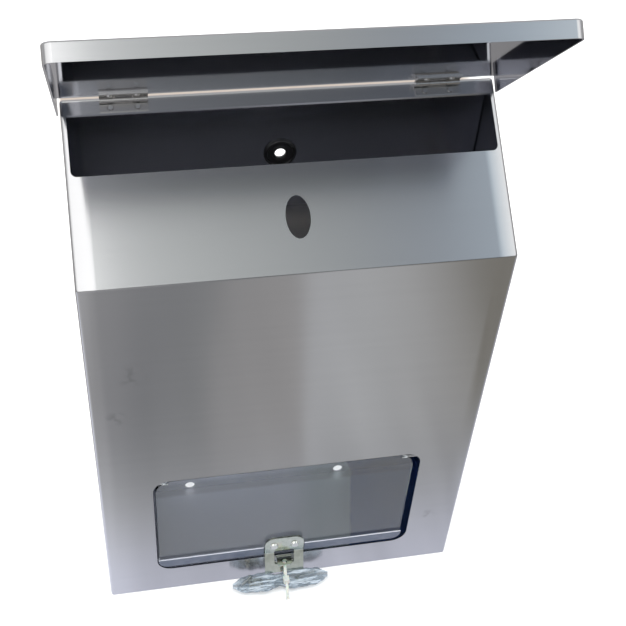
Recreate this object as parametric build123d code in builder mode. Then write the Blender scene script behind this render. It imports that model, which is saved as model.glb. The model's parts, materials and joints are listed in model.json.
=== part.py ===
"""Wall-hung drop fare box in folded stainless sheet, in millimetres.

Frame: the origin is the bottom centre of the wall face. +X is to the right of someone who faces
the box, the front looks along -Y, the wall face lies at Y = 0, and +Z is up.
Sheet pieces are welded or riveted together. The tray lid turns on two small butt hinges at the
back of the mouth, and stands open. The clear door behind the front cut-out turns outwards on two
pins along its top edge, and its slotted tab drops over a drilled tongue that takes a padlock.
"""
import os
from math import cos, radians, sin, tan

from build123d import *

os.makedirs("parts", exist_ok=True)

# ---------------------------------------------------------------- body
body_width = 300.0
body_depth = 106.0
front_height = 359.5  # floor to the fold between front face and slope
slope_angle = 36.5
sheet = 1.2
bend_radius = 2.4  # outside of a fold
wrap_flange = 12.0  # depth of the flanges that lap the side walls
back_flange = 11.2  # depth of the back panel's flanges, which is also the hinge ledge
seam_gap = 0.2  # between the front panel's rims and the back panel

mouth_start = 76.0  # up the slope from the fold
mouth_rim = 3.6  # left standing at each side of the mouth
mouth_corner = 4.0
coin_hole_length = 30.0
coin_hole_width = 17.0
coin_hole_centre = 38.8  # up the slope from the fold

window_width = 218.0
window_bottom = 29.3
window_top = 151.0
window_corner = 13.0

floor_flange = 10.0
baffle_drop_from = front_height - 29.5
baffle_reach = 60.0  # how far the baffle comes back from the front panel
baffle_angle = 45.0
baffle_flange = 12.0

# ---------------------------------------------------------------- wall fixings
hang_hole_height = front_height + 22.5
hang_bore = 8.0
grommet_neck = 12.0
grommet_flange = 24.0
grommet_thickness = 2.4
grommet_rim = 3.0  # round rim on the flange's edge
grommet_web = 0.8  # between rim and bore
grommet_mouth = 11.0
screw_hole = 9.0
screw_spacing = 142.0
screw_height = 6.5

# ---------------------------------------------------------------- lid and its hinges
lid_side_clearance = 1.2
lid_length = 149.0  # hinge axis to front
lid_lip = 11.7
lid_corner = 6.0
lid_bend_radius = 1.6
lid_open = 80.8  # rest pose, turned up from lying parallel to the slope
lid_lip_behind = 4.5  # side lips run on behind the axis
lid_plate_short = 1.2  # the plate stops this far in front of the axis

axis_from_wall = 6.0
barrel_diameter = 4.4
lid_pin_diameter = 2.2
lid_pin_clearance = 0.06
hinge_length = 32.0
hinge_offset = 108.0  # hinge centres from the middle
middle_knuckle = 12.0
knuckle_gap = 0.3
barrel_clearance = 0.35  # barrel to the sheet that the leaves lie on
leaf = 1.0
body_leaf_width = 7.6
body_leaf_rivet_row = 4.7  # rivet centres in front of the axis
lid_leaf_width = 10.0
lid_leaf_rivet_row = 6.2
hinge_rivet = 2.4
hinge_rivet_head = 4.4
hinge_rivet_height = 0.8
hinge_rivet_tail = 2.4
hinge_rivet_spacing = 18.0
rivet_head_taper = 30.0

# ---------------------------------------------------------------- window door
door_gap = 3.1  # between door and cut-out, each side
door_float = 1.9  # the door sits this far to the left of centre
door_bottom_gap = 2.9
door_top_gap = 2.0
door_corner = 8.0
pane = 4.0
pane_top_corner = 14.0  # clears the corners of the cut-out as the door swings
rail_sheet = 0.8
rail_height = 9.6
rail_back_height = 6.5
pivot_height = 145.0
pivot_pin = 2.4
pin_in_pane = 10.0
pin_in_block = 8.0
pivot_clearance = 0.05
block_start = 115.0
block_width = 10.0
block_height = 10.0
block_depth = 8.0
block_corner = 2.5

# ---------------------------------------------------------------- lock
tab = 1.5
tab_width = 34.0
tab_top = 54.5
tab_bend = 34.0
tab_tip = 14.0
tab_lean = 20.0
tab_corner = 9.0
tab_tip_corner = 5.0
tab_bend_radius = 1.4
slot_width = 17.3
slot_bottom = 22.5
slot_top = 36.5
slot_corner = 1.5
tab_rivet = 4.0
tab_rivet_head = 7.4
tab_rivet_height = 1.5
tab_rivet_spacing = 18.0
tab_rivet_up = 44.0
tongue = 1.5
tongue_width = 13.0
tongue_top = 27.5
tongue_reach = 9.4  # in front of the front face
tongue_clearance = 0.3
tongue_foot = 12.0
tongue_foot_width = 24.0
tongue_corner = 3.0
lock_hole = 4.4
lock_hole_from_tip = 3.4
tongue_rivet = 3.0
tongue_rivet_head = 5.4
tongue_rivet_height = 1.0
tongue_rivet_spacing = 16.0
tongue_rivet_up = 17.5

# ---------------------------------------------------------------- cable tie and spares bag
tie_width = 2.4
tie = 1.0
tie_clear = 0.5  # the loop to the tab
tie_head_width = 5.0
tie_head_length = 5.6
tie_head_height = 3.8
tie_head_forward = 16.5  # in front of the front face
tie_head_up = 15.0
strap_spread = 1.2  # each run of the loop from the middle of the head
loop_sag = 0.6
tail_run = [(0.0, 0.0), (6.2, 6.0), (9.0, 12.0)]  # in front of the head's face, and below its middle
bag_left = -46.0
bag_right = 38.0
bag_clear = 1.8  # behind the bag, to the front panel
bag_profile = [(0.0, 1.0), (0.0, 14.0), (4.8, 15.0), (11.4, 10.5), (20.2, 5.0), (20.2, 1.0)]
bag_corner = 1.6
bag_notch = 37.0  # room for the tab and the tie
bag_notch_floor = 10.5

# ---------------------------------------------------------------- derived places
half = body_width / 2
front = -body_depth
inside_front = front + sheet
slope = radians(slope_angle)
slope_plane = Plane(origin=(0, front, front_height), x_dir=(1, 0, 0), z_dir=(0, -sin(slope), cos(slope)))
fold_mitre = (radians(90) - slope) / 2
fold_plane = Plane(
    origin=(0, front, front_height), x_dir=(1, 0, 0), z_dir=(0, sin(fold_mitre), cos(fold_mitre))
)
barrel = barrel_diameter / 2
seat = barrel + barrel_clearance
axis_up_slope = (body_depth - axis_from_wall + seat * sin(slope)) / cos(slope)
axis_height = front_height + axis_up_slope * sin(slope) + seat * cos(slope)
axis_point = (0, -axis_from_wall, axis_height)
leaf_plane = Plane(origin=axis_point, x_dir=(1, 0, 0), z_dir=slope_plane.z_dir)
lid_tilt = radians(lid_open - slope_angle)
lid_plane = Plane(origin=axis_point, x_dir=(1, 0, 0), z_dir=(0, sin(lid_tilt), cos(lid_tilt)))
wall_inside = half - 2 * sheet
lap_start = bend_radius + seam_gap

door_front = inside_front
door_back = door_front + pane
door_left = -window_width / 2 + door_gap - door_float
door_right = window_width / 2 - door_gap - door_float
door_low = window_bottom + door_bottom_gap
door_high = window_top - door_top_gap
pivot_y = door_front + pane / 2
tab_face = door_front - tab
lean = tan(radians(tab_lean))
tab_across = tab / cos(radians(tab_lean))


def slope_height(y, inset=0.0):
    """Height of the slope's surface, or of a surface inset below it, at a place y."""
    return front_height + (y - front) * tan(slope) - inset / cos(slope)


def tab_front_at(z):
    """Place of the tab's front face at a height below its bend."""
    return tab_face - (tab_bend - z) * lean


def wedge(inset, low):
    """The body's form moved in by inset from its front, slope, back and sides, open below."""
    with BuildPart() as form:
        with BuildSketch(Plane.YZ.offset(inset - half)):
            with BuildLine():
                Polyline(
                    (front + inset, low),
                    (front + inset, slope_height(front + inset, inset)),
                    (-inset, slope_height(-inset, inset)),
                    (-inset, low),
                    close=True,
                )
            make_face()
        extrude(amount=body_width - 2 * inset)
        fillet(form.edges().group_by(Axis.Z)[1:], bend_radius - inset)
    return form.part


def rivets(plane, places, shank, start, end, head, height, tail=None):
    """Rivets along a plane's normal: a shank from start to end, a head past the end, and a head
    past the start that stands as high or is a tail of its own height."""
    with BuildPart() as group:
        for x, y in places:
            with BuildSketch(plane.offset(start)):
                with Locations((x, y)):
                    Circle(shank / 2)
            extrude(amount=end - start)
            for level, rise in ((start, -(tail or height)), (end, height)):
                with BuildSketch(plane.offset(level)):
                    with Locations((x, y)):
                        Circle(head / 2)
                extrude(amount=rise, taper=rivet_head_taper * height / abs(rise))
    return group.part


outer_form = wedge(0.0, 0.0)
inner_form = wedge(sheet, -sheet)

# ---------------------------------------------------------------- front and slope
with BuildPart() as front_sheet:
    add(outer_form)
    add(inner_form, mode=Mode.SUBTRACT)
    with BuildSketch(Plane.YZ.offset(-half)):
        with BuildLine():
            Polyline(
                (front, 0),
                (front + wrap_flange, 0),
                (front + wrap_flange, slope_height(front + wrap_flange, wrap_flange)),
                (-back_flange - seam_gap, slope_height(-back_flange - seam_gap, wrap_flange)),
                (-back_flange - seam_gap, slope_height(0)),
                (front, slope_height(0)),
                close=True,
            )
        make_face()
    extrude(amount=body_width, mode=Mode.INTERSECT)
    with BuildSketch(slope_plane):
        with Locations((0, mouth_start)):
            RectangleRounded(
                body_width - 2 * mouth_rim, body_depth, mouth_corner, align=(Align.CENTER, Align.MIN)
            )
        with Locations((0, coin_hole_centre)):
            Ellipse(coin_hole_width / 2, coin_hole_length / 2)
    extrude(amount=2 * sheet, both=True, mode=Mode.SUBTRACT)
    with BuildSketch(Plane.XZ.offset(body_depth)):
        with Locations((0, window_bottom)):
            RectangleRounded(
                window_width,
                window_top - window_bottom,
                window_corner,
                align=(Align.CENTER, Align.MIN),
            )
        with Locations((0, tongue_top - tongue / 2)):
            Rectangle(tongue_width + 2 * tongue_clearance, tongue + 2 * tongue_clearance)
        with Locations((0, tongue_rivet_up)):
            with GridLocations(tongue_rivet_spacing, 0, 2, 1):
                Circle(tongue_rivet / 2)
    extrude(amount=2 * sheet, both=True, mode=Mode.SUBTRACT)
for keep, name in ((Keep.BOTTOM, "front_panel"), (Keep.TOP, "slope_panel")):
    with BuildPart() as panel:
        add(front_sheet)
        split(bisect_by=fold_plane, keep=keep)
    panel.part.label = name
    export_step(panel.part, f"parts/{name}.step")

# ---------------------------------------------------------------- back panel
ledge_rivet_places = [
    (side * hinge_offset + step * hinge_rivet_spacing / 2, -body_leaf_rivet_row)
    for side in (-1, 1)
    for step in (-1, 1)
]
with BuildPart() as back_panel:
    add(outer_form)
    add(inner_form, mode=Mode.SUBTRACT)
    with BuildSketch(Plane.YZ.offset(-half)):
        with Locations((-back_flange, 0)):
            Rectangle(back_flange, slope_height(0), align=(Align.MIN, Align.MIN))
    extrude(amount=body_width, mode=Mode.INTERSECT)
    with BuildSketch(Plane.XZ):
        with Locations((0, hang_hole_height)):
            Circle(grommet_neck / 2)
        with Locations((0, screw_height)):
            with GridLocations(screw_spacing, 0, 2, 1):
                Circle(screw_hole / 2)
    extrude(amount=2 * sheet, both=True, mode=Mode.SUBTRACT)
    with BuildSketch(leaf_plane):
        with Locations(*ledge_rivet_places):
            Circle(hinge_rivet / 2)
    extrude(amount=-2 * seat, mode=Mode.SUBTRACT)
back_panel.part.label = "back_panel"
export_step(back_panel.part, "parts/back_panel.step")

# ---------------------------------------------------------------- side walls
for side, name in ((-1, "side_wall_left"), (1, "side_wall_right")):
    with BuildPart() as side_wall:
        with BuildSketch(Plane.YZ.offset(side * wall_inside)):
            with BuildLine():
                Polyline(
                    (front + lap_start, 0),
                    (front + lap_start, slope_height(front + lap_start, lap_start)),
                    (-lap_start, slope_height(-lap_start, lap_start)),
                    (-lap_start, 0),
                    close=True,
                )
            make_face()
        extrude(amount=side * sheet)
    side_wall.part.label = name
    export_step(side_wall.part, f"parts/{name}.step")

# ---------------------------------------------------------------- floor panel
floor_front = inside_front
floor_back = -sheet
with BuildPart() as floor_panel:
    with BuildSketch():
        with Locations((0, floor_front)):
            Rectangle(2 * wall_inside, floor_back - floor_front, align=(Align.CENTER, Align.MIN))
    extrude(amount=floor_flange)
    fillet(floor_panel.edges().filter_by(Axis.X).sort_by(Axis.Z)[0:1], sheet / 2)
    with BuildSketch(Plane.XY.offset(sheet)):
        with Locations((0, floor_front + sheet)):
            Rectangle(
                2 * (wall_inside - sheet), floor_back - floor_front, align=(Align.CENTER, Align.MIN)
            )
    extrude(amount=floor_flange, mode=Mode.SUBTRACT)
floor_panel.part.label = "floor_panel"
export_step(floor_panel.part, "parts/floor_panel.step")

# ---------------------------------------------------------------- baffle
baffle = radians(baffle_angle)
baffle_back = inside_front + baffle_reach
baffle_low = baffle_drop_from - (baffle_reach - sheet) * tan(baffle)
baffle_across = sheet / cos(baffle)
with BuildPart() as baffle_plate:
    with BuildSketch(Plane.YZ.offset(-wall_inside)):
        with BuildLine():
            Polyline(
                (inside_front, baffle_drop_from + baffle_flange),
                (inside_front + sheet, baffle_drop_from + baffle_flange),
                (inside_front + sheet, baffle_drop_from),
                (baffle_back, baffle_low),
                (baffle_back, baffle_low - baffle_across),
                (inside_front, baffle_drop_from + sheet * tan(baffle) - baffle_across),
                close=True,
            )
        make_face()
    extrude(amount=2 * wall_inside)
baffle_plate.part.label = "baffle_plate"
export_step(baffle_plate.part, "parts/baffle_plate.step")

# ---------------------------------------------------------------- wall grommet
with BuildPart() as wall_grommet:
    with BuildSketch(Plane.YZ):
        with Locations((0, hang_hole_height + hang_bore / 2)):
            Rectangle(sheet, (grommet_neck - hang_bore) / 2, align=(Align.MAX, Align.MIN))
        with Locations((-sheet, hang_hole_height + hang_bore / 2)):
            Rectangle(
                grommet_web, (grommet_flange - hang_bore - grommet_rim) / 2, align=(Align.MAX, Align.MIN)
            )
        with Locations((-sheet, hang_hole_height + (grommet_flange - grommet_rim) / 2)):
            Ellipse(grommet_thickness, grommet_rim / 2)
        with Locations((-sheet, hang_hole_height + grommet_mouth / 2)):
            Ellipse(grommet_thickness / 2, grommet_rim / 4)
        with Locations((-sheet, hang_hole_height)):
            Rectangle(
                sheet + grommet_thickness,
                grommet_flange,
                align=(Align.MIN, Align.MIN),
                mode=Mode.SUBTRACT,
            )
        with Locations((-sheet, hang_hole_height + hang_bore / 2)):
            Rectangle(sheet, (grommet_neck - hang_bore) / 2, align=(Align.MIN, Align.MIN))
    revolve(axis=Axis((0, 0, hang_hole_height), (0, 1, 0)))
wall_grommet.part.label = "wall_grommet"
export_step(wall_grommet.part, "parts/wall_grommet.step")

# ---------------------------------------------------------------- lid
lid_inner_half = half + lid_side_clearance
lid_outer_half = lid_inner_half + sheet
lid_top = seat + sheet
lid_rivet_places = [
    (side * hinge_offset + step * hinge_rivet_spacing / 2, -lid_leaf_rivet_row)
    for side in (-1, 1)
    for step in (-1, 1)
]
with BuildPart() as lid:
    with BuildSketch(lid_plane.offset(lid_top - lid_lip)):
        with Locations((0, -lid_length)):
            Rectangle(
                2 * lid_outer_half, lid_length + lid_lip_behind, align=(Align.CENTER, Align.MIN)
            )
    extrude(amount=lid_lip)
    lid_front_corners = lid.edges().filter_by(Axis(axis_point, lid_plane.z_dir))
    fillet(lid_front_corners.sort_by(Axis(axis_point, lid_plane.y_dir))[0:2], lid_corner)
    lid_top_edges = lid.edges().group_by(Axis(axis_point, lid_plane.z_dir))[-1]
    fillet(lid_top_edges.sort_by(Axis(axis_point, lid_plane.y_dir))[:-1], lid_bend_radius)
    with BuildSketch(lid_plane.offset(seat)):
        with Locations((0, sheet - lid_length)):
            RectangleRounded(
                2 * lid_inner_half, 2 * lid_length, lid_corner - sheet, align=(Align.CENTER, Align.MIN)
            )
    extrude(amount=-lid_lip, mode=Mode.SUBTRACT)
    with BuildSketch(lid_plane.offset(seat)):
        with Locations((0, -lid_plate_short)):
            Rectangle(2 * lid_inner_half, lid_length, align=(Align.CENTER, Align.MIN))
    extrude(amount=lid_lip, mode=Mode.SUBTRACT)
    with BuildSketch(lid_plane):
        with Locations(*lid_rivet_places):
            Circle(hinge_rivet / 2)
    extrude(amount=lid_lip, mode=Mode.SUBTRACT)
lid.part.label = "lid"
export_step(lid.part, "parts/lid.step")

# ---------------------------------------------------------------- lid hinges
pin_radius = lid_pin_diameter / 2
outer_knuckle = (hinge_length - middle_knuckle) / 2 - knuckle_gap
outer_knuckle_centre = (hinge_length - outer_knuckle) / 2


def hinge_leaf(plane, centre, width, step, knuckles, places, bore):
    """One leaf beside the axis, with its back a seat away on the side that step says, rolled
    into knuckles given as (offset, length)."""
    with BuildPart() as piece:
        with BuildSketch(plane.offset(-step * seat)):
            with Locations((centre, 0)):
                Rectangle(hinge_length, width, align=(Align.CENTER, Align.MAX))
            with Locations(*places):
                Circle(hinge_rivet / 2, mode=Mode.SUBTRACT)
        extrude(amount=step * leaf)
        with BuildSketch(plane.offset(-seat)):
            with Locations((centre, barrel)):
                Rectangle(hinge_length, 2 * barrel + knuckle_gap, align=(Align.CENTER, Align.MAX))
            for offset, length in knuckles:
                with Locations((centre + offset, barrel)):
                    Rectangle(length, 3 * barrel, align=(Align.CENTER, Align.MAX), mode=Mode.SUBTRACT)
        extrude(amount=2 * seat, mode=Mode.SUBTRACT)
        for offset, length in knuckles:
            start = centre + offset - length / 2
            with BuildSketch(Plane(axis_point, x_dir=plane.y_dir, z_dir=(1, 0, 0)).offset(start)):
                Circle(barrel)
            extrude(amount=length)
        with BuildSketch(Plane(axis_point, x_dir=plane.y_dir, z_dir=(1, 0, 0)).offset(centre - half)):
            Circle(bore)
        extrude(amount=body_width, mode=Mode.SUBTRACT)
    return piece.part


for side, name in ((-1, "left"), (1, "right")):
    centre = side * hinge_offset
    body_leaf = hinge_leaf(
        leaf_plane,
        centre,
        body_leaf_width,
        1,
        [(0, middle_knuckle)],
        [place for place in ledge_rivet_places if place[0] * side > 0],
        pin_radius,
    )
    body_leaf.label = f"hinge_body_leaf_{name}"
    export_step(body_leaf, f"parts/hinge_body_leaf_{name}.step")

    lid_leaf = hinge_leaf(
        lid_plane,
        centre,
        lid_leaf_width,
        -1,
        [(-outer_knuckle_centre, outer_knuckle), (outer_knuckle_centre, outer_knuckle)],
        [place for place in lid_rivet_places if place[0] * side > 0],
        pin_radius + lid_pin_clearance,
    )
    lid_leaf.label = f"hinge_lid_leaf_{name}"
    export_step(lid_leaf, f"parts/hinge_lid_leaf_{name}.step")

    with BuildPart() as hinge_pin:
        with BuildSketch(Plane.YZ.offset(centre - hinge_length / 2)):
            with Locations((axis_point[1], axis_point[2])):
                Circle(pin_radius)
        extrude(amount=hinge_length)
    hinge_pin.part.label = f"hinge_pin_{name}"
    export_step(hinge_pin.part, f"parts/hinge_pin_{name}.step")

body_leaf_rivets = rivets(
    leaf_plane,
    ledge_rivet_places,
    hinge_rivet,
    -seat - sheet,
    -seat + leaf,
    hinge_rivet_head,
    hinge_rivet_height,
    hinge_rivet_tail,
)
body_leaf_rivets.label = "body_leaf_rivets"
export_step(body_leaf_rivets, "parts/body_leaf_rivets.step")

lid_leaf_rivets = rivets(
    lid_plane,
    lid_rivet_places,
    hinge_rivet,
    seat - leaf,
    lid_top,
    hinge_rivet_head,
    hinge_rivet_height,
)
lid_leaf_rivets.label = "lid_leaf_rivets"
export_step(lid_leaf_rivets, "parts/lid_leaf_rivets.step")

# ---------------------------------------------------------------- window door
door_centre = (door_left + door_right) / 2
door_plane = Plane.XZ.offset(-door_front)
pane_half = (door_right - door_left) / 2 - rail_sheet
tab_rivet_places = [(-tab_rivet_spacing / 2, tab_rivet_up), (tab_rivet_spacing / 2, tab_rivet_up)]
with BuildPart() as window_pane:
    with BuildSketch(door_plane) as outline:
        with Locations((door_centre, door_low + rail_sheet)):
            Rectangle(
                2 * pane_half, door_high - door_low - rail_sheet, align=(Align.CENTER, Align.MIN)
            )
        fillet(outline.vertices().group_by(Axis.Y)[0], door_corner - rail_sheet)
        fillet(outline.vertices().group_by(Axis.Y)[-1], pane_top_corner)
        with Locations(*tab_rivet_places):
            Circle(tab_rivet / 2, mode=Mode.SUBTRACT)
    extrude(amount=-pane)
    for side in (-1, 1):
        with BuildSketch(Plane.YZ.offset(door_centre + side * (pane_half - pin_in_pane))):
            with Locations((pivot_y, pivot_height)):
                Circle(pivot_pin / 2)
        extrude(amount=side * (pin_in_pane + door_corner), mode=Mode.SUBTRACT)
window_pane.part.label = "window_pane"
export_step(window_pane.part, "parts/window_pane.step")

with BuildPart() as bottom_rail:
    with BuildSketch(door_plane.offset(rail_sheet)):
        with Locations((door_centre, door_low)):
            RectangleRounded(
                2 * (pane_half + rail_sheet), window_top, door_corner, align=(Align.CENTER, Align.MIN)
            )
    extrude(amount=-pane - 2 * rail_sheet)
    with BuildSketch(door_plane):
        with Locations((door_centre, door_low + rail_sheet)):
            RectangleRounded(
                2 * pane_half, window_top, door_corner - rail_sheet, align=(Align.CENTER, Align.MIN)
            )
    extrude(amount=-pane, mode=Mode.SUBTRACT)
    with BuildSketch(door_plane.offset(body_depth)):
        with Locations((door_centre, door_low + rail_height)):
            Rectangle(body_width, 2 * window_top, align=(Align.CENTER, Align.MIN))
        with Locations((0, door_low)):
            Rectangle(tab_width + 2 * rail_sheet, rail_height, align=(Align.CENTER, Align.MIN))
    extrude(amount=-body_depth, mode=Mode.SUBTRACT)
    with BuildSketch(door_plane):
        with Locations((door_centre, door_low + rail_back_height)):
            Rectangle(body_width, 2 * window_top, align=(Align.CENTER, Align.MIN))
    extrude(amount=-body_depth, mode=Mode.SUBTRACT)
bottom_rail.part.label = "window_bottom_rail"
export_step(bottom_rail.part, "parts/window_bottom_rail.step")

with BuildPart() as pivot_pins:
    for side in (-1, 1):
        pin_start = door_centre + side * (pane_half - pin_in_pane)
        with BuildSketch(Plane.YZ.offset(pin_start)):
            with Locations((pivot_y, pivot_height)):
                Circle(pivot_pin / 2)
        extrude(amount=side * (block_start + pin_in_block) - pin_start)
pivot_pins.part.label = "window_pivot_pins"
export_step(pivot_pins.part, "parts/window_pivot_pins.step")

for side, name in ((-1, "pivot_block_left"), (1, "pivot_block_right")):
    with BuildPart() as pivot_block:
        with BuildSketch(Plane.YZ.offset(side * block_start)):
            with Locations((inside_front, pivot_height)):
                Rectangle(block_depth, block_height, align=(Align.MIN, Align.CENTER))
            with Locations((pivot_y, pivot_height)):
                Circle(pivot_pin / 2 + pivot_clearance, mode=Mode.SUBTRACT)
        extrude(amount=side * block_width)
        fillet(pivot_block.edges().filter_by(Axis.X).group_by(Axis.Y)[-1], block_corner)
    pivot_block.part.label = name
    export_step(pivot_block.part, f"parts/{name}.step")

# ---------------------------------------------------------------- lock tab
tab_bend_inside = tab_bend - (tab_across - tab) / lean
with BuildPart() as lock_tab:
    with BuildSketch(Plane.YZ.offset(-tab_width / 2)):
        with BuildLine():
            Polyline(
                (tab_face, tab_top),
                (tab_face, tab_bend),
                (tab_front_at(tab_tip), tab_tip),
                (tab_front_at(tab_tip) + tab_across, tab_tip),
                (door_front, tab_bend_inside),
                (door_front, tab_top),
                close=True,
            )
        make_face()
    extrude(amount=tab_width)
    bend_edge = lock_tab.edges().filter_by(Axis.X).sort_by(lambda edge: abs(edge.center().Z - tab_bend))[0]
    fillet(bend_edge, tab_bend_radius + tab)
    with BuildSketch(Plane.XZ.offset(body_depth + 2 * tab_width)):
        with Locations((0, tab_bend)):
            Rectangle(2 * tab_width, 4 * tab_top)
            with Locations((0, tab_top - tab_bend)):
                RectangleRounded(
                    tab_width,
                    tab_top,
                    tab_corner,
                    align=(Align.CENTER, Align.MAX),
                    mode=Mode.SUBTRACT,
                )
            with Locations((0, tab_tip - tab_bend)):
                RectangleRounded(
                    tab_width,
                    (tab_top - tab_tip) / 2,
                    tab_tip_corner,
                    align=(Align.CENTER, Align.MIN),
                    mode=Mode.SUBTRACT,
                )
        with Locations((0, slot_bottom)):
            RectangleRounded(
                slot_width, slot_top - slot_bottom, slot_corner, align=(Align.CENTER, Align.MIN)
            )
        with Locations(*tab_rivet_places):
            Circle(tab_rivet / 2)
    extrude(amount=-3 * tab_width, mode=Mode.SUBTRACT)
lock_tab.part.label = "lock_tab"
export_step(lock_tab.part, "parts/lock_tab.step")

lock_tab_rivets = rivets(
    door_plane, tab_rivet_places, tab_rivet, -pane, tab, tab_rivet_head, tab_rivet_height
)
lock_tab_rivets.label = "lock_tab_rivets"
export_step(lock_tab_rivets, "parts/lock_tab_rivets.step")

# ---------------------------------------------------------------- lock tongue
with BuildPart() as lock_tongue:
    with BuildSketch(Plane.XZ.offset(-inside_front)):
        with Locations((0, tongue_foot)):
            Rectangle(
                tongue_foot_width, tongue_top - tongue_foot, align=(Align.CENTER, Align.MIN)
            )
        with Locations((0, tongue_rivet_up)):
            with GridLocations(tongue_rivet_spacing, 0, 2, 1):
                Circle(tongue_rivet / 2, mode=Mode.SUBTRACT)
    extrude(amount=-tongue)
    with BuildSketch(Plane.XY.offset(tongue_top - tongue)):
        with Locations((0, inside_front + tongue)):
            Rectangle(
                tongue_width, tongue_reach + sheet + tongue, align=(Align.CENTER, Align.MAX)
            )
    extrude(amount=tongue)
    tip_corners = lock_tongue.edges().filter_by(Axis.Z).group_by(Axis.Y)[0]
    fillet(tip_corners, tongue_corner)
    with BuildSketch(Plane.XY.offset(tongue_top)):
        with Locations((0, front - tongue_reach + lock_hole_from_tip)):
            Circle(lock_hole / 2)
    extrude(amount=-tongue, mode=Mode.SUBTRACT)
lock_tongue.part.label = "lock_tongue"
export_step(lock_tongue.part, "parts/lock_tongue.step")

tongue_rivet_places = [
    (-tongue_rivet_spacing / 2, tongue_rivet_up),
    (tongue_rivet_spacing / 2, tongue_rivet_up),
]
lock_tongue_rivets = rivets(
    Plane.XZ.offset(body_depth),
    tongue_rivet_places,
    tongue_rivet,
    -sheet - tongue,
    0,
    tongue_rivet_head,
    tongue_rivet_height,
)
lock_tongue_rivets.label = "lock_tongue_rivets"
export_step(lock_tongue_rivets, "parts/lock_tongue_rivets.step")

# ---------------------------------------------------------------- cable tie and spares bag
strap_off = tie_clear + tie / 2  # the loop's middle line, off the tab
strap_top = slot_bottom + strap_off
strap_low = tab_tip - strap_off
head_y = front - tie_head_forward
head_back = head_y + tie_head_length / 2
head_front = head_y - tie_head_length / 2
loop_points = [
    (head_back, tie_head_up + strap_spread),
    (tab_front_at(slot_bottom) - tie - tie_clear, strap_top),
    (tab_front_at(slot_bottom) + tab_across + strap_off, strap_top),
    (tab_front_at(tab_tip) + tab_across + strap_off, strap_low),
    (tab_front_at(tab_tip) - strap_off, strap_low - loop_sag),
    (head_back, tie_head_up - strap_spread),
]
tail_points = [(head_front - forward, tie_head_up - down) for forward, down in tail_run]
with BuildPart() as cable_tie:
    with BuildSketch(Plane.YZ.offset(-tie_width / 2)):
        for points in (loop_points, tail_points):
            with BuildLine():
                Polyline(*points)
            trace(line_width=tie)
        with Locations((head_y, tie_head_up)):
            Rectangle(tie_head_length, tie_head_height)
    extrude(amount=tie_width)
    with BuildSketch(Plane.YZ.offset(-tie_head_width / 2)):
        with Locations((head_y, tie_head_up)):
            Rectangle(tie_head_length, tie_head_height)
    extrude(amount=tie_head_width)
cable_tie.part.label = "cable_tie"
export_step(cable_tie.part, "parts/cable_tie.step")

bag_back = front - bag_clear
with BuildPart() as spares_bag:
    with BuildSketch(Plane.YZ.offset(bag_left)):
        with BuildLine():
            Polyline(*[(bag_back - forward, up) for forward, up in bag_profile], close=True)
        make_face()
    extrude(amount=bag_right - bag_left)
    fillet(spares_bag.edges().filter_by(Axis.Z), bag_corner)
    with BuildSketch(Plane.XY.offset(bag_notch_floor)):
        with Locations((0, front)):
            Rectangle(bag_notch, body_depth)
    extrude(amount=tab_top, mode=Mode.SUBTRACT)
spares_bag.part.label = "spares_bag"
export_step(spares_bag.part, "parts/spares_bag.step")
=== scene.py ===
"""Looks of a wall-hung stainless drop fare box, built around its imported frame, in metres."""

import json

import bpy
import numpy as np
from mathutils import Matrix, Vector


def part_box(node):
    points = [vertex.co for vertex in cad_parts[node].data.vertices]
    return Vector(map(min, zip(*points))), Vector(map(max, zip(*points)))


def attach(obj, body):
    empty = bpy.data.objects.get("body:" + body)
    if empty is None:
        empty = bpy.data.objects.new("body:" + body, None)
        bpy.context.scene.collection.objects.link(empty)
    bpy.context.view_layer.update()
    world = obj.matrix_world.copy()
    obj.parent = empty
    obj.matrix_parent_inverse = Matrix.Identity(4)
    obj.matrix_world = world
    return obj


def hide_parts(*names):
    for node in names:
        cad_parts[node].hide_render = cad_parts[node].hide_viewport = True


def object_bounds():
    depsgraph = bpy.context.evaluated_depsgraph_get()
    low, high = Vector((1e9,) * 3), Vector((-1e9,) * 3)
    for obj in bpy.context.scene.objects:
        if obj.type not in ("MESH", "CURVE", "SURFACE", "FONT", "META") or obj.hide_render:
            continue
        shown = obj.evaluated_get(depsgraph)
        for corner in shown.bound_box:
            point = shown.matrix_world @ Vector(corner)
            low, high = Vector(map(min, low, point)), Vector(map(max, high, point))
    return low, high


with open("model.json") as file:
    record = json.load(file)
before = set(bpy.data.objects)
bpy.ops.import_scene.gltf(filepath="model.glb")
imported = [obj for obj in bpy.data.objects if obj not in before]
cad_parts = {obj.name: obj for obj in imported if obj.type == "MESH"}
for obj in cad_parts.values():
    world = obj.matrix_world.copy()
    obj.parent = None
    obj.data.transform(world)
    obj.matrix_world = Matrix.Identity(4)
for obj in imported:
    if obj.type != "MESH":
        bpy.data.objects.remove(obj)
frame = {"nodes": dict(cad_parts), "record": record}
cad_low, cad_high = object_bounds()
body_low, body_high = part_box("slope_panel")
bpy.context.scene.view_settings.view_transform = "Standard"

# ---------------------------------------------------------------- camera, light and floor
camera_place = Vector((-0.1257, -0.6372, 0.8508))
camera_look = Vector((0.1755, 0.6976, -0.6947))
camera_up = Vector((0.0872, 0.6919, 0.7167))
camera_lens = 63.53  # mm, on a sensor 36 mm wide


def set_camera():
    """The camera in front of the box and above it, looking down and a little to the right."""
    data = bpy.data.cameras.new("camera")
    data.lens = camera_lens
    data.sensor_width = 36.0
    camera = bpy.data.objects.new("camera", data)
    bpy.context.scene.collection.objects.link(camera)
    back = -camera_look.normalized()
    right = camera_up.cross(back).normalized()
    up = back.cross(right)
    turn = Matrix((right, up, back)).transposed().to_4x4()
    camera.matrix_world = Matrix.Translation(camera_place) @ turn
    bpy.context.scene.camera = camera


set_camera()


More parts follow.
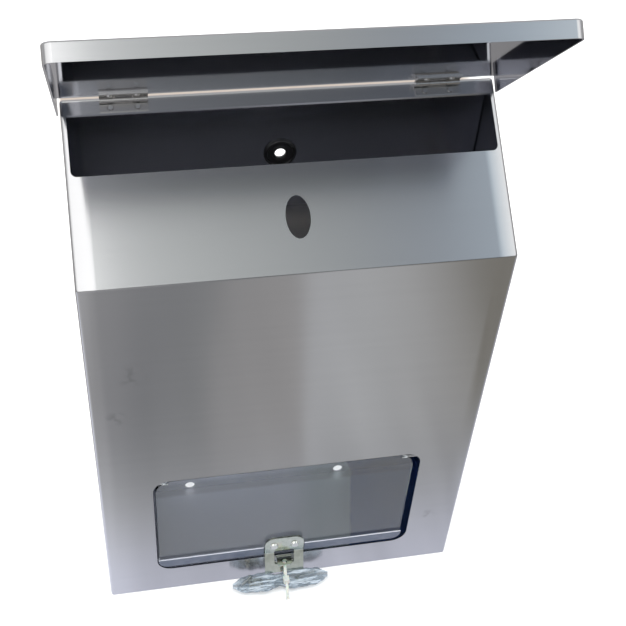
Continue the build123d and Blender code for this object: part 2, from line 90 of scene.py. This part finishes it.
# ---------------------------------------------------------------- node helpers
def put(tree, kind, inputs=None, **settings):
    """A node of a kind with its settings. Each input is a value, or a socket that links to it."""
    made = tree.nodes.new(kind)
    for key, value in settings.items():
        setattr(made, key, value)
    for key, value in (inputs or {}).items():
        if isinstance(value, bpy.types.NodeSocket):
            tree.links.new(value, made.inputs[key])
        else:
            made.inputs[key].default_value = value
    return made


def maths(tree, operation, a, b=0.0, c=0.0, clamp=False):
    """The result of a Math node on two or three values or sockets."""
    made = put(tree, "ShaderNodeMath", {0: a, 1: b, 2: c}, operation=operation, use_clamp=clamp)
    return made.outputs[0]


def mix_colour(tree, share, a, b, blend="MIX"):
    """The result of a Mix node on two colours."""
    made = put(tree, "ShaderNodeMix", {0: share, 6: a, 7: b}, data_type="RGBA", blend_type=blend)
    return made.outputs[2]


def ramp(tree, value, stops):
    """A Color Ramp through stops of (place, colour)."""
    made = put(tree, "ShaderNodeValToRGB", {0: value})
    band = made.color_ramp
    while len(band.elements) < len(stops):
        band.elements.new(0.5)
    for element, (place, colour) in zip(band.elements, stops):
        element.position = place
        element.color = (*colour, 1.0) if len(colour) == 3 else colour
    return made.outputs[0]


def spread(tree, value, low, high, start=0.0, end=1.0):
    """A value carried from low..high to start..end with a smooth step."""
    made = put(
        tree,
        "ShaderNodeMapRange",
        {0: value, 1: low, 2: high, 3: start, 4: end},
        interpolation_type="SMOOTHSTEP",
    )
    return made.outputs[0]


def noise(tree, place, scale, detail=2.0, **more):
    """Noise at a place, with a scale and a detail, and further inputs by name."""
    inputs = {"Vector": place, "Scale": scale, "Detail": detail, **more}
    return put(tree, "ShaderNodeTexNoise", inputs).outputs[0]


def grey(level):
    """An opaque grey."""
    return (level, level, level, 1.0)


# ---------------------------------------------------------------- surroundings
def set_world():
    """A soft grey studio: brighter walls to the left and the right, cooler on the right."""
    world = bpy.data.worlds.new("studio")
    bpy.context.scene.world = world
    world.use_nodes = True
    tree = world.node_tree
    tree.nodes.clear()
    way = put(tree, "ShaderNodeTexCoord").outputs["Generated"]
    parts = put(tree, "ShaderNodeSeparateXYZ", {0: way}).outputs
    sideways = ramp(
        tree,
        maths(tree, "MULTIPLY_ADD", parts["X"], 0.5, 0.5),
        [
            (0.0, (1.4, 1.4, 1.4)),
            (0.482, (1.9, 1.9, 1.9)),
            (0.498, (0.86, 0.89, 0.89)),
            (0.55, (0.66, 0.69, 0.69)),
            (0.60, (0.52, 0.55, 0.56)),
            (0.64, (0.42, 0.46, 0.51)),
            (0.68, (0.54, 0.63, 0.72)),
            (0.715, (0.88, 0.98, 1.06)),
            (0.85, (1.5, 1.5, 1.5)),
            (1.0, (0.9, 0.9, 0.95)),
        ],
    )
    dark = (0.10, 0.10, 0.11, 1.0)
    upper = mix_colour(tree, spread(tree, parts["Z"], 0.05, 0.45), dark, sideways)
    rear = spread(tree, parts["Y"], -0.1, 0.3)
    whole = mix_colour(tree, rear, upper, (0.62, 0.62, 0.63, 1.0))
    shade = put(tree, "ShaderNodeBackground", {0: whole, 1: 1.0})
    out = put(tree, "ShaderNodeOutputWorld")
    tree.links.new(shade.outputs[0], out.inputs[0])


def set_floor():
    """A pale floor. What mirrors it sees is a glowing floor of painted reflection: greyer, brighter
    close to the box, with painted shadow where the box stands and painted light beside the box's
    left.
    """
    reach = 4.0
    low = cad_low.z - 0.0004
    mesh = bpy.data.meshes.new("floor")
    corners = [(x * reach, y * reach, low) for x, y in ((-1, -1), (1, -1), (1, 1), (-1, 1))]
    mesh.from_pydata(corners, [], [(0, 1, 2, 3)])
    floor = bpy.data.objects.new("floor", mesh)
    bpy.context.scene.collection.objects.link(floor)
    material = bpy.data.materials.new("floor")
    material.use_nodes = True
    tree = material.node_tree
    tree.nodes.clear()
    place = put(tree, "ShaderNodeTexCoord").outputs["Object"]
    parts = put(tree, "ShaderNodeSeparateXYZ", {0: place}).outputs
    ahead = maths(tree, "MULTIPLY", parts["Y"], -1.0)
    streaked = put(
        tree, "ShaderNodeVectorMath", {0: place, 1: (16.0, 1.5, 1.0)}, operation="MULTIPLY"
    )
    streaks = noise(tree, streaked.outputs[0], 1.6)
    leaning = maths(tree, "MULTIPLY_ADD", maths(tree, "SUBTRACT", ahead, 0.443), -0.195, parts["X"])
    far = ramp(
        tree,
        maths(tree, "MULTIPLY_ADD", leaning, 1.6, 0.5),
        [
            (0.0, (0.60, 0.60, 0.62)),
            (0.20, (0.40, 0.40, 0.41)),
            (0.27, (0.37, 0.37, 0.385)),
            (0.37, (0.30, 0.305, 0.32)),
            (0.46, (0.34, 0.345, 0.355)),
            (0.49, (0.43, 0.425, 0.43)),
            (0.628, (0.45, 0.44, 0.44)),
            (0.638, (0.62, 0.63, 0.65)),
            (0.75, (0.62, 0.63, 0.64)),
            (0.85, (0.54, 0.54, 0.54)),
            (0.90, (0.46, 0.455, 0.445)),
            (0.99, (0.30, 0.285, 0.255)),
        ],
    )
    near = ramp(
        tree,
        spread(tree, ahead, 0.10, 0.22),
        [(0.0, (0.74, 0.76, 0.88)), (0.5, (0.62, 0.635, 0.70)), (1.0, (0.47, 0.48, 0.50))],
    )
    ground = mix_colour(tree, spread(tree, ahead, 0.17, 0.30), near, far)
    # Painted shadow: the mirrored floor darkens where the box stands.
    ground_with_painted_shadow = mix_colour(tree, spread(tree, ahead, -0.02, 0.09), (0.34, 0.33, 0.325, 1.0), ground)
    # Painted light: the mirrored floor is brighter beside the box's left, close to it.
    painted_light_beside_left = spread(tree, parts["X"], -0.17, -0.10, 0.42, 0.0)
    left = maths(tree, "MULTIPLY_ADD", painted_light_beside_left, spread(tree, ahead, 0.2, 0.36, 1.0, 0.0), 1.0)
    tone = maths(tree, "MULTIPLY_ADD", maths(tree, "SUBTRACT", streaks, 0.5), 0.35, left)
    mirrored = put(tree, "ShaderNodeEmission", {0: ground_with_painted_shadow, 1: tone})
    behind = maths(
        tree,
        "MULTIPLY",
        spread(tree, parts["Y"], 0.58, 0.61),
        spread(tree, parts["Y"], 0.69, 0.72, 1.0, 0.0),
    )
    beside = maths(
        tree,
        "MULTIPLY",
        spread(tree, parts["X"], -0.178, -0.172),
        spread(tree, parts["X"], 0.39, 0.42, 1.0, 0.0),
    )
    share = maths(tree, "MULTIPLY", behind, beside)
    mat = mix_colour(tree, share, grey(0.92), (0.38, 0.33, 0.29, 1.0))
    plain = put(tree, "ShaderNodeBsdfDiffuse", {0: mat})
    rays = put(tree, "ShaderNodeLightPath").outputs
    outside_glass = maths(tree, "SUBTRACT", 1.0, rays["Is Transmission Ray"])
    path = maths(tree, "MULTIPLY", rays["Is Glossy Ray"], outside_glass)
    both = put(tree, "ShaderNodeMixShader", {0: path, 1: plain.outputs[0], 2: mirrored.outputs[0]})
    out = put(tree, "ShaderNodeOutputMaterial")
    tree.links.new(both.outputs[0], out.inputs[0])
    mesh.materials.append(material)


def softbox(name, place, aim, size, power, glossy):
    """A square area light that faces a point."""
    data = bpy.data.lights.new(name, "AREA")
    data.shape = "SQUARE"
    data.size = size
    data.energy = power
    light = bpy.data.objects.new(name, data)
    bpy.context.scene.collection.objects.link(light)
    light.location = place
    light.rotation_euler = (Vector(aim) - Vector(place)).to_track_quat("-Z", "Y").to_euler()
    light.visible_glossy = glossy


set_world()
set_floor()
softbox("overhead", (0.0, -0.2, 2.4), (0.0, -0.1, 0.0), 2.6, 75.0, False)


# ---------------------------------------------------------------- materials
def material(name, make):
    """A material whose Principled shader is set up by make(tree, shader)."""
    made = bpy.data.materials.new(name)
    made.use_nodes = True
    tree = made.node_tree
    shader = tree.nodes["Principled BSDF"]
    make(tree, shader)
    return made


def link(tree, shader, **inputs):
    """Sets or links a shader's inputs, with spaces in their names written as underscores."""
    for key, value in inputs.items():
        socket = shader.inputs[key.replace("_", " ")]
        if isinstance(value, bpy.types.NodeSocket):
            tree.links.new(value, socket)
        else:
            socket.default_value = value


def group(name, inputs, outputs):
    """An empty shader node group with inputs (name, type, default) and outputs (name, type)."""
    made = bpy.data.node_groups.new(name, "ShaderNodeTree")
    for label, kind, value in inputs:
        socket = made.interface.new_socket(name=label, in_out="INPUT", socket_type=kind)
        socket.default_value = value
    for label, kind in outputs:
        made.interface.new_socket(name=label, in_out="OUTPUT", socket_type=kind)
    start = made.nodes.new("NodeGroupInput")
    end = made.nodes.new("NodeGroupOutput")
    return made, start, end


def use(tree, made, **inputs):
    """A group placed in a tree, with its inputs set or linked."""
    node = tree.nodes.new("ShaderNodeGroup")
    node.node_tree = made
    link(tree, node, **inputs)
    return node.outputs


def brushed_group():
    """Sheet brushed along X, and along Y on faces that look sideways.

    Height is fine noise stretched 60 times along the grain. Tone is wide bands of the same grain
    and Gloss is broad patches, each from 0 to 1."""
    made, start, end = group(
        "brushed_sheet",
        [("Fineness", "NodeSocketFloat", 900.0), ("Stretch", "NodeSocketFloat", 0.016)],
        [("Height", "NodeSocketFloat"), ("Tone", "NodeSocketFloat"), ("Gloss", "NodeSocketFloat")],
    )
    coords = put(made, "ShaderNodeTexCoord").outputs
    place = put(made, "ShaderNodeSeparateXYZ", {0: coords["Object"]}).outputs
    facing = put(made, "ShaderNodeSeparateXYZ", {0: coords["Normal"]}).outputs
    sideways = maths(made, "GREATER_THAN", maths(made, "ABSOLUTE", facing["X"]), 0.7)
    along = start.outputs["Stretch"]
    rest = maths(made, "SUBTRACT", 1.0, along)
    squeeze_x = maths(made, "MULTIPLY_ADD", sideways, rest, along)
    squeeze_y = maths(made, "SUBTRACT", 1.0, maths(made, "MULTIPLY", sideways, rest))
    stretched = put(
        made,
        "ShaderNodeCombineXYZ",
        {
            0: maths(made, "MULTIPLY", place["X"], squeeze_x),
            1: maths(made, "MULTIPLY", place["Y"], squeeze_y),
            2: place["Z"],
        },
    ).outputs[0]
    fine = put(
        made,
        "ShaderNodeTexNoise",
        {"Vector": stretched, "Scale": start.outputs["Fineness"], "Detail": 4.0, "Roughness": 0.65},
    )
    wide = put(
        made,
        "ShaderNodeTexNoise",
        {"Vector": stretched, "Scale": 210.0, "Detail": 3.0, "Roughness": 0.6},
    )
    patchy = put(
        made, "ShaderNodeTexNoise", {"Vector": coords["Object"], "Scale": 9.0, "Detail": 2.0}
    )
    made.links.new(fine.outputs[0], end.inputs["Height"])
    made.links.new(wide.outputs[0], end.inputs["Tone"])
    made.links.new(patchy.outputs[0], end.inputs["Gloss"])
    return made


def inner_group():
    """Mask of the faces that look towards a centre: 1 where Normal . (Object - Centre) < 0."""
    made, start, end = group(
        "inner_faces",
        [("Centre", "NodeSocketVector", (0.0, 0.0, 0.0))],
        [("Mask", "NodeSocketFloat")],
    )
    coords = put(made, "ShaderNodeTexCoord").outputs
    away = put(
        made,
        "ShaderNodeVectorMath",
        {0: coords["Object"], 1: start.outputs["Centre"]},
        operation="SUBTRACT",
    ).outputs[0]
    along = put(
        made, "ShaderNodeVectorMath", {0: away, 1: coords["Normal"]}, operation="DOT_PRODUCT"
    )
    mask = maths(made, "LESS_THAN", along.outputs["Value"], 0.0)
    made.links.new(mask, end.inputs["Mask"])
    return made


brushed = brushed_group()
inner = inner_group()


crown_reach = 0.014  # how far from each side bend the sheet starts to dome
smudges = (  # faint marks on the front: a centre and a radius
    ((0.124, body_low.y, 0.062), 0.011),
    ((0.036, body_low.y, 0.139), 0.010),
    ((-0.118, body_low.y, 0.275), 0.014),
    ((-0.132, body_low.y, 0.232), 0.010),
)


def steel(colour, roughness, anisotropy, grain, crown=0.0, uneven=0.06, centre=None, polish=0.07):
    """Brushed stainless sheet. Its faces dome by crown metres over the last stretch to each side.
    With a centre, the faces that look towards it are smooth and nearly mirror-like, and carry a
    painted band of pale, matte light between about 0.24 and 0.345 m up."""

    def make(tree, shader):
        parts = use(tree, brushed)
        level = maths(tree, "SUBTRACT", parts["Tone"], 0.5)
        tone = maths(tree, "MULTIPLY_ADD", level, 2 * uneven, 1.0)
        shade = mix_colour(tree, 1.0, (*colour, 1.0), grey(1.0), "MULTIPLY")
        toned = put(tree, "ShaderNodeVectorMath", {0: shade, 3: tone}, operation="SCALE").outputs[0]
        rough = maths(
            tree, "MULTIPLY_ADD", maths(tree, "SUBTRACT", parts["Gloss"], 0.5), 0.06, roughness
        )
        coords = put(tree, "ShaderNodeTexCoord").outputs
        height = maths(tree, "MULTIPLY", parts["Height"], grain)
        spread_out = anisotropy
        metal = 1.0
        if centre:
            mask = use(tree, inner, Centre=centre)["Mask"]
            kept = maths(tree, "SUBTRACT", 1.0, mask)
            rough = maths(tree, "MULTIPLY_ADD", rough, kept, maths(tree, "MULTIPLY", mask, polish))
            toned = mix_colour(tree, mask, toned, (0.44, 0.45, 0.50, 1.0))
            # Painted light: inner faces between about 0.24 and 0.345 m up are mixed towards a pale,
            # matte colour and made less metallic.
            deep = put(tree, "ShaderNodeSeparateXYZ", {0: coords["Object"]}).outputs["Z"]
            band = maths(tree, "MULTIPLY", spread(tree, deep, 0.24, 0.28), 0.8)
            painted_light_band = maths(tree, "MULTIPLY", band, spread(tree, deep, 0.315, 0.345, 1.0, 0.0))
            pale = maths(tree, "MULTIPLY", painted_light_band, mask)
            toned = mix_colour(tree, pale, toned, (0.95, 0.90, 0.84, 1.0))
            metal = maths(tree, "SUBTRACT", 1.0, maths(tree, "MULTIPLY", mask, painted_light_band))
            height = maths(tree, "MULTIPLY", height, kept)
            spread_out = maths(tree, "MULTIPLY", kept, anisotropy)
        if crown:
            marks = noise(tree, coords["Object"], 110.0, 4.0)
            smeared = 0.0
            for place, spot_size in smudges:
                ends = {0: coords["Object"], 1: place}
                apart = put(tree, "ShaderNodeVectorMath", ends, operation="DISTANCE")
                away = apart.outputs["Value"]
                mark = spread(tree, away, 0.2 * spot_size, spot_size, 1.0, 0.0)
                smeared = maths(tree, "ADD", smeared, mark)
            smeared = maths(tree, "MULTIPLY", smeared, spread(tree, marks, 0.42, 0.6))
            toned = mix_colour(tree, maths(tree, "MULTIPLY", smeared, 0.3), toned, grey(0.26))
            sides = put(tree, "ShaderNodeSeparateXYZ", {0: coords["Object"]}).outputs["X"]
            across = maths(tree, "ABSOLUTE", sides)
            rise = maths(tree, "SUBTRACT", across, body_high.x - crown_reach)
            edge = maths(tree, "DIVIDE", maths(tree, "MAXIMUM", rise, 0.0), crown_reach)
            drop = maths(tree, "MULTIPLY", maths(tree, "POWER", edge, 2.0), crown)
            height = maths(tree, "SUBTRACT", height, drop)
        bump = put(tree, "ShaderNodeBump", {"Height": height, "Distance": 1.0, "Strength": 1.0})
        along = put(tree, "ShaderNodeCombineXYZ", {0: 1.0, 1: 0.05, 2: 0.0}).outputs[0]
        link(
            tree,
            shader,
            Base_Color=toned,
            Metallic=metal,
            Roughness=rough,
            Anisotropic=spread_out,
            Anisotropic_Rotation=0.25,
            Tangent=along,
            Normal=bump.outputs[0],
        )

    return make


def zinc(tree, shader):
    """Bright zinc plating with a faint green cast and fine cloudiness."""
    coords = put(tree, "ShaderNodeTexCoord").outputs["Object"]
    cloud = noise(tree, coords, 260.0, 3.0)
    shade = ramp(tree, cloud, [(0.3, (0.54, 0.58, 0.50)), (0.7, (0.66, 0.69, 0.61))])
    rough = spread(tree, cloud, 0.3, 0.7, 0.12, 0.2)
    bump = put(tree, "ShaderNodeBump", {"Height": cloud, "Distance": 0.00002, "Strength": 1.0})
    link(tree, shader, Base_Color=shade, Metallic=1.0, Roughness=rough, Normal=bump.outputs[0])


def rubber(tree, shader):
    """Black moulded rubber, faintly mottled."""
    coords = put(tree, "ShaderNodeTexCoord").outputs["Object"]
    fine = noise(tree, coords, 900.0, 3.0)
    shade = ramp(tree, fine, [(0.3, (0.012, 0.012, 0.013)), (0.7, (0.022, 0.022, 0.023))])
    bump = put(tree, "ShaderNodeBump", {"Height": fine, "Distance": 0.00008, "Strength": 1.0})
    link(tree, shader, Base_Color=shade, Roughness=0.3, Normal=bump.outputs[0])


def clear_pane(tree, shader):
    """Clear polycarbonate with faint haze, that lets lamp light straight through."""
    coords = put(tree, "ShaderNodeTexCoord").outputs["Object"]
    haze = noise(tree, coords, 40.0, 6.0)
    rough = spread(tree, haze, 0.5, 0.9, 0.0, 0.02)
    link(
        tree,
        shader,
        Base_Color=(0.93, 0.96, 0.98, 1.0),
        Roughness=rough,
        Transmission_Weight=1.0,
        IOR=1.5,
        Specular_IOR_Level=0.3,
    )
    path = put(tree, "ShaderNodeLightPath").outputs["Is Shadow Ray"]
    through = put(tree, "ShaderNodeBsdfTransparent", {0: (0.85, 0.88, 0.9, 1.0)})
    both = put(
        tree, "ShaderNodeMixShader", {0: path, 1: shader.outputs[0], 2: through.outputs[0]}
    )
    tree.links.new(both.outputs[0], tree.nodes["Material Output"].inputs[0])


def nylon(tree, shader):
    """Milky white nylon."""
    coords = put(tree, "ShaderNodeTexCoord").outputs["Object"]
    fine = noise(tree, coords, 700.0)
    shade = ramp(tree, fine, [(0.3, (0.46, 0.50, 0.47)), (0.7, (0.60, 0.64, 0.60))])
    link(
        tree,
        shader,
        Base_Color=shade,
        Roughness=0.4,
        Subsurface_Weight=0.3,
        Subsurface_Scale=0.002,
    )


def trim(tree, shader):
    """Slate-grey glossy extrusion, with a painted highlight that lightens its upper edge."""
    coords = put(tree, "ShaderNodeTexCoord").outputs
    up = put(tree, "ShaderNodeSeparateXYZ", {0: coords["Normal"]}).outputs["Z"]
    fine = noise(tree, coords["Object"], 120.0)
    body = ramp(tree, fine, [(0.3, (0.085, 0.10, 0.14)), (0.7, (0.11, 0.125, 0.165))])
    # Painted highlight: faces that look upwards are mixed towards a pale grey.
    shade = mix_colour(tree, spread(tree, up, 0.3, 0.8), body, (0.62, 0.64, 0.70, 1.0))
    link(tree, shader, Base_Color=shade, Roughness=0.16)


def filmed_floor(tree, shader):
    """Smooth sheet whose right part lies under a bluish film with a wavering edge, with painted
    shade towards its back edge.
    """
    coords = put(tree, "ShaderNodeTexCoord").outputs["Object"]
    parts = put(tree, "ShaderNodeSeparateXYZ", {0: coords}).outputs
    waver = noise(tree, coords, 30.0, 3.0)
    slanted = maths(tree, "MULTIPLY_ADD", parts["Y"], -0.22, parts["X"])
    edge = maths(tree, "MULTIPLY_ADD", waver, 0.004, slanted)
    film = spread(tree, edge, 0.085, 0.088)
    bare = mix_colour(
        tree, spread(tree, edge, 0.02, 0.06), (0.78, 0.80, 0.90, 1.0), (0.56, 0.66, 0.69, 1.0)
    )
    shade = mix_colour(tree, film, bare, (0.07, 0.14, 0.36, 1.0))
    # Painted shade: the sheet is darker towards its back edge.
    painted_shade_at_back = mix_colour(tree, spread(tree, parts["Y"], -0.010, -0.006), grey(1.0), grey(0.7))
    rough = spread(tree, waver, 0.3, 0.7, 0.42, 0.5)
    link(
        tree,
        shader,
        Base_Color=mix_colour(tree, 1.0, shade, painted_shade_at_back, "MULTIPLY"),
        Metallic=0.94,
        Roughness=rough,
    )


def crinkled_film(tree, shader):
    """Thin clear film gathered along X: long painted bright and dark streaks stand in for the
    glints and shade of its creases; paler along its rims.
    """
    coords = put(tree, "ShaderNodeTexCoord").outputs["Object"]
    drawn = put(
        tree, "ShaderNodeVectorMath", {0: coords, 1: (0.13, 1.0, 1.0)}, operation="MULTIPLY"
    )
    fold = noise(tree, drawn.outputs[0], 300.0, 4.0, Roughness=0.55, Distortion=0.3)
    rim = put(tree, "ShaderNodeLayerWeight", {"Blend": 0.3}).outputs["Facing"]
    crease = spread(tree, fold, 0.42, 0.62)
    edges = maths(tree, "MULTIPLY", rim, 0.25)
    cover = maths(tree, "ADD", edges, maths(tree, "MULTIPLY", crease, 0.3))
    bump = put(tree, "ShaderNodeBump", {"Height": fold, "Distance": 0.0012, "Strength": 1.0})
    # Painted reflection and shade: the film's colour runs from dark to bright with its creases.
    painted_crease_shading = ramp(
        tree,
        fold,
        [(0.36, (0.05, 0.08, 0.11)), (0.48, (0.20, 0.27, 0.33)), (0.60, (0.62, 0.70, 0.78))],
    )
    link(
        tree,
        shader,
        Base_Color=painted_crease_shading,
        Alpha=maths(tree, "ADD", cover, 0.4, clamp=True),
        Roughness=0.12,
        Normal=bump.outputs[0],
    )


def worn_brass(tree, shader):
    """Dull key brass, darker in patches."""
    coords = put(tree, "ShaderNodeTexCoord").outputs["Object"]
    cloud = noise(tree, coords, 320.0, 3.0)
    shade = ramp(tree, cloud, [(0.3, (0.36, 0.33, 0.25)), (0.7, (0.58, 0.54, 0.42))])
    rough = spread(tree, cloud, 0.3, 0.7, 0.2, 0.4)
    link(tree, shader, Base_Color=shade, Metallic=1.0, Roughness=rough)


box_centre = (0.0, -0.053, 0.2)
lid_centre = (0.0, -0.06, 0.44)
sheet_colour = (0.56, 0.56, 0.565)
materials = {
    "steel": material(
        "brushed_stainless",
        steel(sheet_colour, 0.18, 0.85, 0.000008, 0.0014, 0.025, box_centre, 0.2),
    ),
    "lid_steel": material(
        "brushed_stainless_lid",
        steel(sheet_colour, 0.18, 0.85, 0.000008, 0.0, 0.025, lid_centre, 0.07),
    ),
    "steel_inner": material("smooth_stainless", steel((0.62, 0.61, 0.60), 0.42, 0.2, 0.000003)),
    "grey_trim": material("slate_trim", trim),
    "floor_film": material("filmed_floor", filmed_floor),
    "hinge_steel": material("pressed_hinge_steel", steel((0.5, 0.49, 0.48), 0.24, 0.5, 0.000006)),
    "pin_steel": material("drawn_pin_steel", steel((0.6, 0.6, 0.6), 0.18, 0.3, 0.000003)),
    "rivet_steel": material("rivet_steel", steel((0.62, 0.62, 0.61), 0.2, 0.2, 0.000004)),
    "zinc": material("bright_zinc", zinc),
    "zinc_rivet": material("bright_zinc_rivet", steel((0.72, 0.73, 0.68), 0.14, 0.2, 0.000003)),
    "black_rubber": material("black_rubber", rubber),
    "clear_pane": material("clear_polycarbonate", clear_pane),
    "white_nylon": material("white_nylon", nylon),
    "clear_film": material("crinkled_film", crinkled_film),
}
brass = material("worn_key_brass", worn_brass)

for subpart in frame["record"]["subparts"]:
    node = frame["nodes"][subpart["node"]]
    node.data.materials.clear()
    slot = "lid_steel" if subpart["node"] == "lid" else subpart["material_slot"]
    node.data.materials.append(materials[slot])


# ---------------------------------------------------------------- the bag of spares
def surface(name, points, across_wraps, material_used, body):
    """A smooth piece from a grid of points, rows by columns, whose columns may close on themselves.
    It rides on a body."""
    rows, columns = points.shape[:2]
    index = np.arange(rows * columns).reshape(rows, columns)
    if across_wraps:
        index = np.concatenate([index, index[:, :1]], axis=1)
    quads = np.stack([index[:-1, :-1], index[:-1, 1:], index[1:, 1:], index[1:, :-1]], axis=-1)
    mesh = bpy.data.meshes.new(name)
    mesh.from_pydata(points.reshape(-1, 3).tolist(), [], quads.reshape(-1, 4).tolist())
    mesh.polygons.foreach_set("use_smooth", np.ones(len(mesh.polygons), dtype=bool))
    mesh.update()
    mesh.materials.append(material_used)
    piece = bpy.data.objects.new(name, mesh)
    bpy.context.scene.collection.objects.link(piece)
    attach(piece, body)
    return piece


def power(value, exponent):
    """A signed power: the sign of the value times its size to the exponent."""
    return np.sign(value) * np.abs(value) ** exponent


def film_tube(low, high):
    """A clear bag along X between two corners: an ellipse whose half height and depth follow
    sin(pi s)^0.35 along it, narrowed near the tie by a bell curve in X. Ridges are cosines of 5, 9
    and 14 times the angle, each with a phase that runs on along the bag. The ends flatten."""
    middle = (low + high) / 2
    half = (high - low) / 2
    along, angle = np.meshgrid(
        np.linspace(0.0, 1.0, 260), np.linspace(0.0, 2 * np.pi, 180, endpoint=False), indexing="ij"
    )
    x = low[0] + (high[0] - low[0]) * along
    swell = 0.25 + 0.75 * np.sin(np.pi * np.clip(along, 0.02, 0.98)) ** 0.35
    pinch = 1.0 - 0.42 * np.exp(-(((x - low[0] - 0.48 * (high[0] - low[0])) / 0.006) ** 2))
    ridges = (
        0.050 * np.cos(5 * angle + 9.0 * along + 0.7)
        + 0.045 * np.cos(9 * angle - 17.0 * along + 2.1)
        + 0.030 * np.cos(14 * angle + 31.0 * along)
        + 0.035 * np.cos(61.0 * along + 3 * angle)
    )
    size = swell * pinch * (0.83 + ridges)
    flat = 1.0 - 0.75 * np.clip((np.abs(along - 0.5) - 0.40) / 0.10, 0.0, 1.0) ** 1.5
    y = middle[1] + half[1] * size * flat * power(np.cos(angle), 0.8)
    z = middle[2] + half[2] * size * power(np.sin(angle), 0.8)
    x = x + 0.0012 * np.sin(np.pi * along) * np.cos(7 * angle)
    x = np.clip(x, low[0], high[0])
    return np.stack([x, y, z], axis=-1)


def rounded_block(centre, half, turn, exponent=0.3):
    """A block with rounded edges: a superellipsoid of half sizes, its sines and cosines to an
    exponent, turned about Y by an angle."""
    up, round_ = np.meshgrid(
        np.linspace(-np.pi / 2, np.pi / 2, 40),
        np.linspace(0, 2 * np.pi, 64, endpoint=False),
        indexing="ij",
    )
    x = half[0] * power(np.cos(up), exponent) * power(np.cos(round_), exponent)
    y = half[1] * power(np.sin(up), exponent)
    z = half[2] * power(np.cos(up), exponent) * power(np.sin(round_), exponent)
    turned_x = x * np.cos(turn) - z * np.sin(turn)
    turned_z = x * np.sin(turn) + z * np.cos(turn)
    return np.stack([centre[0] + turned_x, centre[1] - y, centre[2] + turned_z], axis=-1)


def ring(centre, radius, thick, turn, start=0.0, end=2 * np.pi):
    """A bent wire: a circle of one radius swept through an arc in a plane turned about Z."""
    sweep, round_ = np.meshgrid(
        np.linspace(start, end, 72), np.linspace(0, 2 * np.pi, 20, endpoint=False), indexing="ij"
    )
    out = radius + thick * np.cos(round_)
    flat = out * np.cos(sweep)
    return np.stack(
        [
            centre[0] + flat * np.cos(turn) - thick * np.sin(round_) * np.sin(turn),
            centre[1] + flat * np.sin(turn) + thick * np.sin(round_) * np.cos(turn),
            centre[2] + out * np.sin(sweep),
        ],
        axis=-1,
    )


def screw(centre, length, radius, turn):
    """A pan-head screw along X turned about Z: a radius that follows a thread, which is a sine of
    14 turns, then steps out into a domed head over the last fifth."""
    along, round_ = np.meshgrid(
        np.linspace(0.0, 1.0, 220), np.linspace(0, 2 * np.pi, 28, endpoint=False), indexing="ij"
    )
    thread = radius * (1.0 + 0.14 * np.sin(2 * np.pi * 14 * along - round_))
    dome = 2.0 * radius * np.sqrt(np.clip(1.0 - ((along - 0.8) / 0.2) ** 2, 0.0, 1.0))
    size = np.where(along < 0.8, thread * np.clip(along / 0.08, 0.02, 1.0), dome)
    x = (along - 0.5) * length
    y = size * np.cos(round_)
    z = size * np.sin(round_)
    return np.stack(
        [
            centre[0] + x * np.cos(turn) - y * np.sin(turn),
            centre[1] + x * np.sin(turn) + y * np.cos(turn),
            centre[2] + z,
        ],
        axis=-1,
    )


bag_low, bag_high = (np.array(corner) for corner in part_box("spares_bag"))
bag_middle = (bag_low + bag_high) / 2
bag_half = (bag_high - bag_low) / 2
small_metal = materials["zinc_rivet"]


def in_bag(x, y, z):
    """A place in the bag from shares of its half sizes."""
    return bag_middle + bag_half * np.array((x, y, z))


def bag_piece(name, points, material_used):
    """A surface that closes round and rides on the window door."""
    return surface(name, points, True, material_used, "window_door")


bag = bag_piece("spares_bag_film", film_tube(bag_low, bag_high), materials["clear_film"])
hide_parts("spares_bag")

lock_place = in_bag(-0.52, 0.0, -0.1)
lock_half = (0.0065, 0.0036, 0.0046)
bag_piece("padlock_body", rounded_block(lock_place, lock_half, 0.15), brass)
shackle_place = in_bag(-0.30, 0.0, 0.0)
half_turn = (-np.pi / 2, np.pi / 2)
bag_piece("padlock_shackle", ring(shackle_place, 0.0036, 0.0009, 0.2, *half_turn), small_metal)
bow_half = (0.0052, 0.0008, 0.0045)
bag_piece("key_bow", rounded_block(in_bag(0.30, 0.15, 0.0), bow_half, 0.3, 0.8), small_metal)
blade_half = (0.0082, 0.0008, 0.0018)
bag_piece("key_blade", rounded_block(in_bag(0.58, 0.15, 0.12), blade_half, 0.2, 0.3), small_metal)
bag_piece("key_ring", ring(in_bag(0.16, 0.0, 0.0), 0.0042, 0.0005, 0.5), small_metal)
screw_length = 0.013
screw_radius = 0.0013
for name, place, turn in (
    ("spare_screw_one", in_bag(-0.70, 0.30, 0.15), 0.7),
    ("spare_screw_two", in_bag(0.45, -0.25, -0.2), -0.5),
):
    bag_piece(name, screw(place, screw_length, screw_radius, turn), small_metal)
